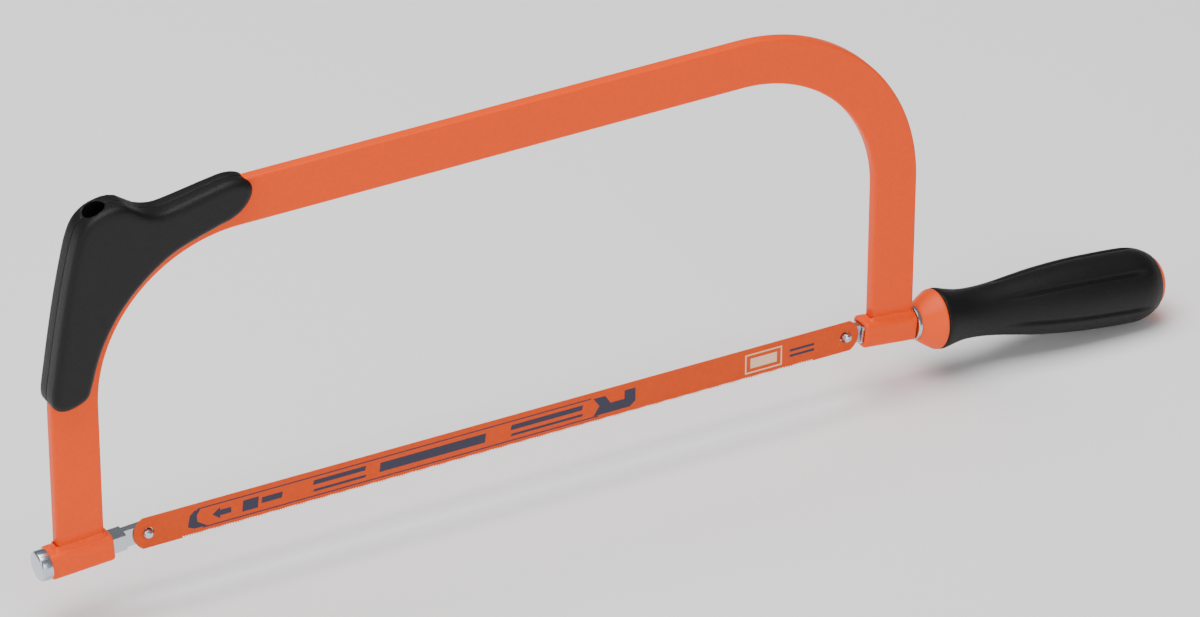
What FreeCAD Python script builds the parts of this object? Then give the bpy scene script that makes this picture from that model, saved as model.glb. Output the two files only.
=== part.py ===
"""Hacksaw with a bent flat-bar bow, a tensioning screw handle and a 300 mm blade.

The frame is +X along the blade from the front grip to the handle, +Z up and Y across the bow.
The origin is the middle of the blade, on the line through its two pin holes. Lengths are millimetres.
The handle turns on its own axis and draws the rear holder back through its square socket, which
stretches the blade between two inclined pins. Both sockets droop a few degrees at their outer ends.
"""
import FreeCAD, Part
import Sketcher
import math
import os

Vector = FreeCAD.Vector
Placement = FreeCAD.Placement
Rotation = FreeCAD.Rotation

DRIVING = {
    # blade
    "pin_span": 300.0,
    "blade_width": 13.0,
    "blade_thickness": 0.65,
    "blade_front": 2.2,
    "blade_straight": 152.3,
    "blade_end_radius": 7.5,
    "blade_hole": 4.5,
    "tooth_strip": 1.6,
    "tooth_pitch": 1.058,
    "tooth_depth": 0.75,
    "tooth_margin": 16.0,
    # pins and holders, measured outwards from each pin along its own socket
    "pin_diameter": 3.6,
    "pin_lean": 20.0,
    "pin_length": 5.6,
    "pin_back": 1.1,
    "pin_slack": 0.16,
    "pin_chamfer": 0.7,
    "tongue_face": 1.5,
    "tongue_back": 1.6,
    "tongue_end": 4.6,
    "tongue_round": 2.0,
    "shank_size": 7.2,
    "shank_corner": 0.9,
    "head_diameter": 12.0,
    "head_length": 4.4,
    "head_round": 1.2,
    "front_step": 9.6,
    "rear_step": 6.8,
    "rear_shank_end": 28.0,
    "stud_diameter": 6.0,
    "stud_start": 21.0,
    "stud_end": 66.0,
    # sockets
    "socket_size": 10.8,
    "socket_corner": 2.2,
    "socket_play": 0.12,
    "front_socket_near": 15.2,
    "front_socket_far": 40.4,
    "rear_socket_near": 7.8,
    "rear_socket_far": 31.2,
    "front_droop": 3.6,
    "rear_droop": 6.0,
    # bow
    "bar_width": 19.0,
    "bar_thickness": 5.0,
    "bar_corner": 1.1,
    "front_leg": 186.9,
    "rear_leg": 180.7,
    "front_bend": 78.5,
    "rear_bend": 78.0,
    "front_bend_height": 60.0,
    "rail_tilt": 0.68,
    # welds
    "weld_reach": 1.3,
    "weld_rise": 1.9,
    # front grip
    "grip_thickness": 14.6,
    "grip_edge": 2.4,
    "screw_tilt": 30.0,
    "screw_well": 8.6,
    "screw_well_depth": 8.0,
    "screw_head": 7.2,
    "screw_head_height": 2.6,
    "screw_shank": 3.5,
    "screw_length": 19.0,
    # handle, measured along its own axis from the rear pin
    "washer_start": 31.3,
    "washer_diameter": 13.8,
    "washer_bore": 7.6,
    "nose_start": 32.9,
    "nose_radius": 7.2,
    "cone_end": 41.2,
    "collar": 42.2,
    "collar_radius": 12.1,
    "neck": 58.0,
    "neck_radius": 9.9,
    "waist": 72.0,
    "waist_radius": 10.9,
    "belly": 104.6,
    "belly_radius": 14.8,
    "shoulder": 130.7,
    "shoulder_radius": 15.35,
    "butt": 141.0,
    "butt_radius": 13.0,
    "rim": 143.5,
    "rim_radius": 11.3,
    "handle_end": 147.0,
    "rubber_thickness": 2.7,
    "groove_radius": 1.3,
    "nut_start": 35.5,
    "nut_length": 16.0,
    "nut_across": 10.6,
    "nut_bore": 6.1,
    "tail_bore": 7.2,
    "plug_start": 141.0,
    "plug_radius": 4.4,
}

GROOVES = 6


class Size:
    """A length worked out from the sheet: its number now, and the expression that stays bound to it."""

    def __init__(self, value, text):
        self.value = value
        self.text = text

    def _join(self, sign, other):
        if not isinstance(other, Size):
            other = Size(float(other), repr(float(other)))
        results = {
            "+": lambda a, b: a + b,
            "-": lambda a, b: a - b,
            "*": lambda a, b: a * b,
            "/": lambda a, b: a / b,
        }
        return Size(results[sign](self.value, other.value), f"({self.text} {sign} {other.text})")

    def __add__(self, other):
        return self._join("+", other)

    def __sub__(self, other):
        return self._join("-", other)

    def __mul__(self, other):
        return self._join("*", other)

    def __truediv__(self, other):
        return self._join("/", other)

    def __neg__(self):
        return Size(-self.value, f"(0 - {self.text})")


doc = FreeCAD.newDocument("hacksaw")
sheet = doc.addObject("Spreadsheet::Sheet", "sizes")
size = {}
for row, (alias, value) in enumerate(DRIVING.items(), start=1):
    sheet.set(f"A{row}", alias)
    sheet.set(f"B{row}", repr(value))
    sheet.setAlias(f"B{row}", alias)
    size[alias] = Size(value, f"sizes.{alias}")
doc.recompute()
ZERO = size["pin_span"] * 0


def sin_of(angle):
    return Size(math.sin(math.radians(angle.value)), f"sin({angle.text})")


def cos_of(angle):
    return Size(math.cos(math.radians(angle.value)), f"cos({angle.text})")


def tan_of(angle):
    return sin_of(angle) / cos_of(angle)


def number(alias):
    """A driving dimension as a plain number."""
    return float(sheet.get(alias))


# ---------------------------------------------------------------- sketches and features
def new_body(name):
    body = doc.addObject("PartDesign::Body", name)
    body.Label = name
    return body


def new_sketch(body, name, plane, offset=None):
    """A sketch on one of the body's own origin planes, moved along the plane's normal by offset."""
    sketch = body.newObject("Sketcher::SketchObject", name)
    support = [f for f in body.Origin.OriginFeatures if f.Role == plane][0]
    sketch.AttachmentSupport = [(support, "")]
    sketch.MapMode = "FlatFace"
    if offset is not None:
        sketch.AttachmentOffset = Placement(Vector(0, 0, offset.value), Rotation())
        sketch.setExpression("AttachmentOffset.Base.z", offset.text)
    return sketch


def tie(sketch, kind, where, amount):
    """One driving constraint, bound to the sheet."""
    index = sketch.addConstraint(Sketcher.Constraint(kind, *where, amount.value))
    sketch.setExpression(f"Constraints[{index}]", amount.text)


def arc_between(start, end, radius):
    """The short arc from start to end. It turns left for a positive radius and right for a negative one."""
    chord = end - start
    middle = (start + end) * 0.5
    left = Vector(-chord.y, chord.x, 0).normalize()
    rise = math.sqrt(radius * radius - chord.Length * chord.Length / 4.0)
    centre = middle + left * (rise if radius > 0 else -rise)
    first, last = (start, end) if radius > 0 else (end, start)
    angles = [math.atan2(p.y - centre.y, p.x - centre.x) for p in (first, last)]
    circle = Part.Circle(centre, Vector(0, 0, 1), abs(radius))
    return Part.ArcOfCircle(circle, angles[0], angles[1])


def add_outline(sketch, corners):
    """A closed outline of (x, y, radius) corners. The radius bends the edge that arrives at the corner, and
    is None for a straight edge."""
    points = [Vector(x.value, y.value, 0) for x, y, bend in corners]
    first = sketch.GeometryCount
    ends = []
    for i, (x, y, bend) in enumerate(corners):
        start, end = points[i - 1], points[i]
        if bend is None:
            sketch.addGeometry(Part.LineSegment(start, end))
            ends.append((1, 2))
        else:
            sketch.addGeometry(arc_between(start, end, bend.value))
            ends.append((1, 2) if bend.value > 0 else (2, 1))
    for i, (x, y, bend) in enumerate(corners):
        here, following = first + i, first + (i + 1) % len(corners)
        leaves = ends[(i + 1) % len(corners)][0]
        sketch.addConstraint(Sketcher.Constraint("Coincident", here, ends[i][1], following, leaves))
        tie(sketch, "DistanceX", (-1, 1, here, ends[i][1]), x)
        tie(sketch, "DistanceY", (-1, 1, here, ends[i][1]), y)
        if bend is not None:
            tie(sketch, "Radius", (here,), bend if bend.value > 0 else -bend)


def add_circle(sketch, x, y, diameter):
    index = sketch.addGeometry(Part.Circle(Vector(x.value, y.value, 0), Vector(0, 0, 1), diameter.value / 2))
    tie(sketch, "DistanceX", (-1, 1, index, 3), x)
    tie(sketch, "DistanceY", (-1, 1, index, 3), y)
    tie(sketch, "Diameter", (index,), diameter)


def rounded_square(width, height, corner):
    """Corners of a rectangle about the origin with rounded corners, for add_outline."""
    x, y = width / 2, height / 2
    return [
        (x, -y + corner, corner),
        (x, y - corner, None),
        (x - corner, y, corner),
        (-x + corner, y, None),
        (-x, y - corner, corner),
        (-x, -y + corner, None),
        (-x + corner, -y, corner),
        (x - corner, -y, None),
    ]


def extrude(body, kind, sketch, name, length, middle=False, flip=False):
    feature = body.newObject(f"PartDesign::{kind}", name)
    feature.Profile = sketch
    feature.Length = length.value
    feature.setExpression("Length", length.text)
    feature.Midplane = middle
    feature.Reversed = flip
    return feature


def revolve(body, sketch, name):
    """Turns a sketch a full turn about its own horizontal axis."""
    feature = body.newObject("PartDesign::Revolution", name)
    feature.Profile = sketch
    feature.ReferenceAxis = (sketch, ["H_Axis"])
    feature.Angle = 360.0
    return feature


def edges_where(shape, test):
    """Names of the edges whose middle point passes the test."""
    found = []
    for i, edge in enumerate(shape.Edges, start=1):
        middle = edge.valueAt(0.5 * (edge.FirstParameter + edge.LastParameter))
        if test(middle, edge):
            found.append(f"Edge{i}")
    return found


def round_edges(body, base, name, test, radius):
    doc.recompute()
    feature = body.newObject("PartDesign::Fillet", name)
    feature.Base = (base, edges_where(base.Shape, test))
    feature.Radius = radius.value
    feature.setExpression("Radius", radius.text)
    return feature


def combine(kind, name, base, tool):
    feature = doc.addObject(f"Part::{kind}", name)
    feature.Base = base
    feature.Tool = tool
    feature.Label = name
    return feature


def cut(name, base, *tools):
    """The base with every tool taken away, one after the other. The last result carries the name."""
    for i, tool in enumerate(tools, start=1):
        last = i == len(tools)
        base = combine("Cut", name if last else f"{name}_cut{i}", base, tool)
    return base


def tilted(body, at_x, turn):
    """Places a body at a point of the blade line, turned in the plane of the bow."""
    body.Placement = Placement(Vector(at_x.value, 0, 0), Rotation(Vector(0, 1, 0), turn.value))
    body.setExpression("Placement.Base.x", at_x.text)
    body.setExpression("Placement.Rotation.Angle", turn.text)
    return body


def backwards(path):
    """The corners of a path walked the other way, without its last point."""
    result = []
    for before, after in reversed(list(zip(path, path[1:]))):
        result.append((before[0], before[1], None if after[2] is None else -after[2]))
    return result


half_span = size["pin_span"] / 2
FRONT_AT = -half_span
REAR_AT = half_span
FRONT_TURN = -size["front_droop"] + 180
REAR_TURN = size["rear_droop"]

os.makedirs("parts", exist_ok=True)
pieces = {}


# ---------------------------------------------------------------- blade
def make_blade():
    """Painted spring-steel back with two round holes, and the hard tooth strip welded along its edge."""
    top = size["blade_width"] / 2
    seam = size["tooth_strip"] - top
    straight = size["blade_straight"]
    face = size["blade_front"]

    back = new_body("blade_back")
    sketch = new_sketch(back, "blade_back_outline", "XZ_Plane", face - size["blade_thickness"])
    end = -size["blade_end_radius"]
    outline = [
        (-straight, -top, None),
        (-straight, top, end),
        (straight, top, None),
        (straight, -top, end),
        (straight, seam, None),
        (-straight, seam, None),
    ]
    add_outline(sketch, outline)
    for x in (-half_span, half_span):
        add_circle(sketch, x, ZERO, size["blade_hole"])
    extrude(back, "Pad", sketch, "blade_back_pad", size["blade_thickness"])
    pieces["blade_back"] = back

    teeth = doc.addObject("Part::Feature", "blade_tooth_strip")
    teeth.Label = "blade_tooth_strip"
    low, high = -number("blade_width") / 2, number("tooth_strip") - number("blade_width") / 2
    gullet = low + number("tooth_depth")
    pitch = number("tooth_pitch")
    run = number("blade_straight") - number("tooth_margin")
    count = int(2 * run / pitch)
    line = [Vector(number("blade_straight"), 0, high), Vector(-number("blade_straight"), 0, high)]
    line.append(Vector(-number("blade_straight"), 0, low))
    for i in range(count):
        tip = -run + i * pitch
        line.append(Vector(tip, 0, low))
        line.append(Vector(tip + 0.12 * pitch, 0, gullet))
        line.append(Vector(tip + 0.34 * pitch, 0, gullet))
    line.append(Vector(-run + count * pitch, 0, low))
    line.append(Vector(number("blade_straight"), 0, low))
    line.append(line[0])
    strip = Part.Face(Part.makePolygon(line)).extrude(Vector(0, number("blade_thickness"), 0))
    teeth.Shape = strip
    teeth.Placement = Placement(Vector(0, -number("blade_front"), 0), Rotation())
    pieces["blade_tooth_strip"] = teeth


# ---------------------------------------------------------------- pins and holders
def make_pin(name, at, turn):
    """A short steel pin with a chamfered nose, leaning outwards so that the blade slides to its seat."""
    pin = new_body(name)
    sketch = new_sketch(pin, f"{name}_section", "XY_Plane")
    radius, length, nose = size["pin_diameter"] / 2, size["pin_length"], size["pin_chamfer"]
    corners = [
        (ZERO, ZERO, None),
        (length, ZERO, None),
        (length, radius - nose, None),
        (length - nose, radius, None),
        (ZERO, radius, None),
    ]
    add_outline(sketch, corners)
    revolve(pin, sketch, f"{name}_turned")
    lean = number("pin_lean")
    middle = number("blade_front") - number("blade_thickness") / 2
    reach = number("pin_back") + middle
    foot_x = number("pin_slack") - reach * math.tan(math.radians(lean))
    stand = Placement(Vector(foot_x, number("pin_back"), 0), Rotation(Vector(0, 0, 1), lean - 90))
    holder = Placement(Vector(at.value, 0, 0), Rotation(Vector(0, 1, 0), turn.value))
    pin.Placement = holder.multiply(stand)
    pieces[name] = pin
    return pin


def make_holder(name, step, far, at, turn, pin, head, inserts=()):
    """A square shank with a flat tongue that the blade lies against, drilled for the leaning pin."""
    holder = new_body(f"{name}_blank")
    side, corner = size["shank_size"], size["shank_corner"]
    shank = new_sketch(holder, f"{name}_shank_section", "YZ_Plane", step)
    add_outline(shank, rounded_square(side, side, corner))
    extrude(holder, "Pad", shank, f"{name}_shank", far - step)

    tongue = new_sketch(holder, f"{name}_tongue_outline", "XZ_Plane", -size["tongue_back"])
    half, tip, bend = side / 2, -size["tongue_end"], size["tongue_round"]
    corners = [
        (tip, half - bend, None),
        (tip + bend, half, -bend),
        (step + 1, half, None),
        (step + 1, -half, None),
        (tip + bend, -half, None),
        (tip, -half + bend, -bend),
    ]
    add_outline(tongue, corners)
    extrude(holder, "Pad", tongue, f"{name}_tongue", size["tongue_face"] + size["tongue_back"])

    if head:
        disc = new_sketch(holder, f"{name}_head_circle", "YZ_Plane", far)
        add_circle(disc, ZERO, ZERO, size["head_diameter"])
        button = extrude(holder, "Pad", disc, f"{name}_head", size["head_length"])
        rim_at = far.value + number("head_length")

        def rim_edge(p, edge):
            return p.x > rim_at - 0.01

        round_edges(holder, button, f"{name}_head_round", rim_edge, size["head_round"])
    tilted(holder, at, turn)
    pieces[name] = cut(name, holder, pin, *inserts)


def make_stud():
    """The threaded stud, modelled at its outside diameter, that the handle's nut runs on."""
    stud = new_body("tension_stud")
    sketch = new_sketch(stud, "tension_stud_section", "XY_Plane")
    start, end, radius = size["stud_start"], size["stud_end"], size["stud_diameter"] / 2
    corners = [
        (start, ZERO, None),
        (end, ZERO, None),
        (end, radius - 0.8, None),
        (end - 0.8, radius, None),
        (start, radius, None),
    ]
    add_outline(sketch, corners)
    revolve(stud, sketch, "tension_stud_turned")
    tilted(stud, REAR_AT, REAR_TURN)
    pieces["tension_stud"] = stud
    return stud


# ---------------------------------------------------------------- sockets
def make_socket(name, near, far, at, turn):
    """A box-shaped steel socket with a square bore that guides the holder's shank."""
    socket = new_body(name)
    ring = new_sketch(socket, f"{name}_section", "YZ_Plane", near)
    outside, corner = size["socket_size"], size["socket_corner"]
    bore = size["shank_size"] + size["socket_play"] * 2
    add_outline(ring, rounded_square(outside, outside, corner))
    add_outline(ring, rounded_square(bore, bore, size["shank_corner"]))
    extrude(socket, "Pad", ring, f"{name}_pad", far - near)
    tilted(socket, at, turn)
    pieces[name] = socket
    return socket


# ---------------------------------------------------------------- bow
def bend_point(centre, radius):
    """Where an arc of this radius about a bend centre meets the rail."""
    tilt = size["rail_tilt"]
    return centre[0] - sin_of(tilt) * radius, centre[1] + cos_of(tilt) * radius


def foot_height(x, at, droop, rising):
    """Height of a socket's top face below a point of the leg."""
    along = (x - at) * tan_of(droop)
    lift = size["socket_size"] / 2 / cos_of(droop)
    return lift + along if rising else lift - along


def make_bow():
    """The solid flat bar, bent to a front leg, a nearly level rail and a rear leg."""
    width = size["bar_width"]
    front_out, rear_out = -size["front_leg"], size["rear_leg"]
    front_in, rear_in = front_out + width, rear_out - width
    front_big, rear_big = size["front_bend"], size["rear_bend"]
    front_centre = (front_out + front_big, size["front_bend_height"])
    run = rear_out - rear_big - front_centre[0]
    climb = run * tan_of(size["rail_tilt"]) + (front_big - rear_big) / cos_of(size["rail_tilt"])
    rear_centre = (rear_out - rear_big, front_centre[1] + climb)

    def front_foot(x):
        return foot_height(x, FRONT_AT, size["front_droop"], True)

    def rear_foot(x):
        return foot_height(x, REAR_AT, size["rear_droop"], False)

    outline = [
        (front_out, front_foot(front_out), None),
        (front_out, front_centre[1], None),
        (*bend_point(front_centre, front_big), -front_big),
        (*bend_point(rear_centre, rear_big), None),
        (rear_out, rear_centre[1], -rear_big),
        (rear_out, rear_foot(rear_out), None),
        (rear_in, rear_foot(rear_in), None),
        (rear_in, rear_centre[1], None),
        (*bend_point(rear_centre, rear_big - width), rear_big - width),
        (*bend_point(front_centre, front_big - width), None),
        (front_in, front_centre[1], front_big - width),
        (front_in, front_foot(front_in), None),
    ]
    bar = new_body("frame_bar_blank")
    sketch = new_sketch(bar, "frame_bar_outline", "XZ_Plane", -size["bar_thickness"] / 2)
    add_outline(sketch, outline)
    pad = extrude(bar, "Pad", sketch, "frame_bar_pad", size["bar_thickness"])
    side = number("bar_thickness") / 2
    feet = 14.0

    def long_edge(p, edge):
        return abs(abs(p.y) - side) < 0.01 and p.z > feet

    round_edges(bar, pad, "frame_bar_rounding", long_edge, size["bar_corner"])
    return bar


def make_weld(name, near, far, at, turn, up, bar, socket):
    """A weld bead round the foot of a leg, lying on its socket."""
    bead = new_body(f"{name}_blank")
    half_width = size["bar_thickness"] / 2 + size["weld_reach"]
    sketch = new_sketch(bead, f"{name}_section", "XZ_Plane", -half_width)
    top = size["socket_size"] / 2
    rise = size["weld_rise"] * up
    base = (top - 1.2) * up
    crest = top * up + rise
    corners = [
        (near, base, None),
        (far, base, None),
        (far, top * up + 0.3 * up, None),
        (far - 1.2, crest, None),
        (near + 1.2, crest, None),
        (near, top * up + 0.3 * up, None),
    ]
    add_outline(sketch, corners)
    pad = extrude(bead, "Pad", sketch, f"{name}_pad", half_width * 2)
    reach = half_width.value
    high = abs(crest.value)

    def long_edge(p, edge):
        return abs(abs(p.y) - reach) < 0.01 and abs(abs(p.z) - high) < 0.01

    round_edges(bead, pad, f"{name}_slope", long_edge, size["weld_reach"] * 0.85)
    tilted(bead, at, turn)
    pieces[name] = cut(name, bead, bar, socket)


# ---------------------------------------------------------------- front grip
def grip_outline():
    """Smooth closed outline of the moulded grip: up the leg, over the horn and saddle, and back along
    the bar's inner side, where it leaves a strip of the bar showing."""
    points = [
        (-187.6, 68.5), (-185.9, 79.9), (-183.7, 92.8), (-181.0, 107.0), (-178.2, 119.6), (-175.4, 130.0),
        (-171.6, 136.6), (-166.3, 140.4), (-160.5, 141.9), (-155.2, 140.9), (-150.6, 138.0), (-146.0, 135.7),
        (-141.0, 134.9), (-135.0, 135.7), (-128.0, 137.1), (-120.0, 138.6), (-112.5, 139.7), (-107.0, 138.6),
        (-104.4, 135.0), (-105.2, 130.2), (-108.4, 125.8), (-113.4, 122.7),
    ]
    centre = Vector(number("front_bend") - number("front_leg"), number("front_bend_height"), 0)
    inner = number("front_bend") - number("bar_width") + 2.8
    for turn in (106.0, 115.0, 125.0, 135.0, 145.0, 155.0, 163.0):
        angle = math.radians(turn)
        points.append((centre.x + inner * math.cos(angle), centre.y + inner * math.sin(angle)))
    points += [(-170.2, 71.0), (-173.2, 66.6), (-177.6, 64.1), (-182.4, 63.2), (-186.2, 64.4)]
    curve = Part.BSplineCurve()
    curve.interpolate([Vector(x, z, 0) for x, z in points], PeriodicFlag=True)
    return curve


def make_grip(bar):
    """Two moulded halves that close round the bar and meet on its middle plane, and the screw in the horn."""
    screw = new_body("grip_screw")
    sketch = new_sketch(screw, "grip_screw_section", "XY_Plane")
    head, thick = size["screw_head"] / 2, size["screw_head_height"]
    shank, length = size["screw_shank"] / 2, size["screw_length"]
    corners = [
        (ZERO, ZERO, None),
        (thick + length, ZERO, None),
        (thick + length - 1.0, shank, None),
        (thick, shank, None),
        (thick, head, None),
        (ZERO + 0.6, head, None),
        (ZERO, head - 0.9, None),
    ]
    add_outline(sketch, corners)
    revolve(screw, sketch, "grip_screw_turned")
    cross = new_sketch(screw, "grip_screw_cross", "YZ_Plane")
    arm, slot = ZERO + 2.1, ZERO + 0.5
    plus = [
        (arm, -slot, None), (arm, slot, None), (slot, slot, None), (slot, arm, None),
        (-slot, arm, None), (-slot, slot, None), (-arm, slot, None), (-arm, -slot, None),
        (-slot, -slot, None), (-slot, -arm, None), (slot, -arm, None), (slot, -slot, None),
    ]
    add_outline(cross, plus)
    extrude(screw, "Pocket", cross, "grip_screw_recess", ZERO + 1.5, flip=True)
    tilt = number("screw_tilt")
    mouth = Vector(-166.5, 0, 141.3)
    into = Vector(math.sin(math.radians(tilt)), 0, -math.cos(math.radians(tilt)))
    aim = Rotation(Vector(0, 1, 0), 90 - tilt)
    screw.Placement = Placement(mouth + into * number("screw_well_depth"), aim)
    pieces["grip_screw"] = screw

    well = doc.addObject("Part::Cylinder", "screw_well_cutter")
    well.setExpression("Radius", "sizes.screw_well / 2")
    well.setExpression("Height", "sizes.screw_well_depth + sizes.screw_head_height + 6")
    upright = Rotation(Vector(0, 1, 0), 180 - tilt)
    well.Placement = Placement(mouth - into * 6.0, upright)

    blank = new_body("front_grip_blank")
    sketch = new_sketch(blank, "front_grip_outline", "XZ_Plane", -size["grip_thickness"] / 2)
    sketch.addGeometry(grip_outline())
    pad = extrude(blank, "Pad", sketch, "front_grip_pad", size["grip_thickness"])
    side = number("grip_thickness") / 2

    def cheek_edge(p, edge):
        return abs(abs(p.y) - side) < 0.01

    round_edges(blank, pad, "front_grip_rounding", cheek_edge, size["grip_edge"])

    for name, flip in (("front_grip_right", False), ("front_grip_left", True)):
        room = doc.addObject("Part::Box", f"{name}_room")
        room.Length = 160.0
        room.Width = 20.0
        room.Height = 160.0
        room.Placement = Placement(Vector(-220, -20 if flip else 0, 20), Rotation())
        half = combine("Common", f"{name}_half", blank, room)
        pieces[name] = cut(name, half, bar, well, screw)
    pieces["frame_bar"] = cut("frame_bar", bar, screw)


# ---------------------------------------------------------------- handle
def under_rubber():
    """The core's outside where the rubber covers it, from the collar to the rim."""
    thin = size["rubber_thickness"]
    return [
        (size["collar"], size["collar_radius"] - thin, None),
        (size["neck"], size["neck_radius"] - thin, ZERO + 42.0),
        (size["waist"], size["waist_radius"] - thin, ZERO + 98.0),
        (size["belly"], size["belly_radius"] - thin, ZERO - 277.0),
        (size["shoulder"], size["shoulder_radius"] - thin, ZERO - 340.0),
        (size["butt"] - 2, size["butt_radius"] - 1.6, ZERO - 18.0),
        (size["rim"], size["rim_radius"] - 0.6, None),
    ]


def make_handle():
    """A two-shot handle turned about the socket's axis: core, rubber, nut, washer and end plug."""
    washer = new_body("thrust_washer")
    ring = new_sketch(washer, "thrust_washer_ring", "YZ_Plane", size["washer_start"])
    add_circle(ring, ZERO, ZERO, size["washer_diameter"])
    add_circle(ring, ZERO, ZERO, size["washer_bore"])
    extrude(washer, "Pad", ring, "thrust_washer_pad", size["nose_start"] - size["washer_start"])
    pieces["thrust_washer"] = tilted(washer, REAR_AT, REAR_TURN)

    nut = new_body("handle_nut")
    hexagon = new_sketch(nut, "handle_nut_hexagon", "YZ_Plane", size["nut_start"])
    flat = size["nut_across"] / 2
    point = flat / cos_of(ZERO + 30.0)
    corners = []
    for i in range(6):
        turn = ZERO + 60.0 * i
        corners.append((point * cos_of(turn), point * sin_of(turn), None))
    add_outline(hexagon, corners)
    add_circle(hexagon, ZERO, ZERO, size["nut_bore"])
    extrude(nut, "Pad", hexagon, "handle_nut_pad", size["nut_length"])
    pieces["handle_nut"] = tilted(nut, REAR_AT, REAR_TURN)

    plug = new_body("end_plug")
    sketch = new_sketch(plug, "end_plug_section", "XY_Plane")
    corners = [
        (size["plug_start"], ZERO, None),
        (size["handle_end"] + 0.4, ZERO, None),
        (size["handle_end"], size["plug_radius"], ZERO + 24.5),
        (size["plug_start"], size["plug_radius"], None),
    ]
    add_outline(sketch, corners)
    revolve(plug, sketch, "end_plug_turned")
    pieces["end_plug"] = tilted(plug, REAR_AT, REAR_TURN)

    core = new_body("handle_core_blank")
    sketch = new_sketch(core, "handle_core_section", "XY_Plane")
    bore = size["tail_bore"] / 2
    cover = under_rubber()
    corners = [(size["nose_start"], bore, None), (size["nose_start"], size["nose_radius"], None)]
    corners.append((size["cone_end"], size["collar_radius"], None))
    corners.append((size["collar"], size["collar_radius"], None))
    corners += cover
    corners.append((size["handle_end"], size["plug_radius"] + 2.2, ZERO - 4.6))
    corners.append((size["handle_end"], size["plug_radius"], None))
    corners.append((size["plug_start"], size["plug_radius"], None))
    corners.append((size["plug_start"], bore, None))
    add_outline(sketch, corners)
    revolve(core, sketch, "handle_core_turned")
    tilted(core, REAR_AT, REAR_TURN)
    pieces["handle_core"] = cut("handle_core", core, nut)

    grip = new_body("handle_grip_blank")
    sketch = new_sketch(grip, "handle_grip_section", "XY_Plane")
    outside = [
        (size["collar"], size["collar_radius"], None),
        (size["neck"], size["neck_radius"], ZERO + 42.0),
        (size["waist"], size["waist_radius"], ZERO + 98.0),
        (size["belly"], size["belly_radius"], ZERO - 277.0),
        (size["shoulder"], size["shoulder_radius"], ZERO - 340.0),
        (size["butt"], size["butt_radius"], ZERO - 18.0),
        (size["rim"], size["rim_radius"], ZERO - 7.0),
        (cover[-1][0], cover[-1][1], None),
    ]
    add_outline(sketch, outside + backwards(cover))
    revolve(grip, sketch, "handle_grip_turned")
    tilted(grip, REAR_AT, REAR_TURN)
    axis = Placement(Vector(REAR_AT.value, 0, 0), Rotation(Vector(0, 1, 0), REAR_TURN.value))
    low, high = Vector(60, 0, 12.3), Vector(140, 0, 16.2)
    cutters = []
    for i in range(GROOVES):
        groove = doc.addObject("Part::Cylinder", f"grip_groove_{i + 1}")
        groove.setExpression("Radius", "sizes.groove_radius")
        groove.Height = (high - low).Length
        turn = Placement(Vector(0, 0, 0), Rotation(Vector(1, 0, 0), 60.0 * i + 14.0))
        lay = Placement(low, Rotation(Vector(0, 0, 1), high - low))
        groove.Placement = axis.multiply(turn).multiply(lay)
        cutters.append(groove)
    pieces["handle_grip"] = cut("handle_grip", grip, *cutters)


make_blade()
front_pin = make_pin("front_blade_pin", FRONT_AT, FRONT_TURN)
rear_pin = make_pin("rear_blade_pin", REAR_AT, REAR_TURN)
stud = make_stud()
make_holder(
    "front_blade_holder", size["front_step"], size["front_socket_far"],
    FRONT_AT, FRONT_TURN, front_pin, head=True,
)
make_holder(
    "rear_blade_holder", size["rear_step"], size["rear_shank_end"],
    REAR_AT, REAR_TURN, rear_pin, head=False, inserts=[stud],
)
front_socket = make_socket(
    "front_socket", size["front_socket_near"], size["front_socket_far"], FRONT_AT, FRONT_TURN,
)
rear_socket = make_socket(
    "rear_socket", size["rear_socket_near"], size["rear_socket_far"], REAR_AT, REAR_TURN,
)
bar = make_bow()
doc.recompute()
width = size["bar_width"]
front_near = size["front_leg"] - half_span - width
rear_near = size["rear_leg"] - half_span - width
reach = size["weld_reach"]
make_weld(
    "front_weld", front_near - reach, front_near + width + reach,
    FRONT_AT, FRONT_TURN, -1, bar, front_socket,
)
make_weld(
    "rear_weld", rear_near - reach, rear_near + width + 0.4,
    REAR_AT, REAR_TURN, 1, bar, rear_socket,
)
make_grip(bar)
make_handle()
doc.recompute()

for item in doc.Objects:
    if "Invalid" in item.State or "Error" in item.State:
        raise RuntimeError(f"{item.Name} did not build: {item.State}")
for name, item in pieces.items():
    shape = item.Shape
    if shape.isNull() or not shape.isValid():
        raise RuntimeError(f"{name} has no valid shape")
    item.Label = name
    shape.exportStep(f"parts/{name}.step")
    print(f"{name:22s} {shape.Volume:10.1f} mm3  solids {len(shape.Solids)}")
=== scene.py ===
import math
import random

import bmesh
import bpy
from mathutils import Matrix, Vector


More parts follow.
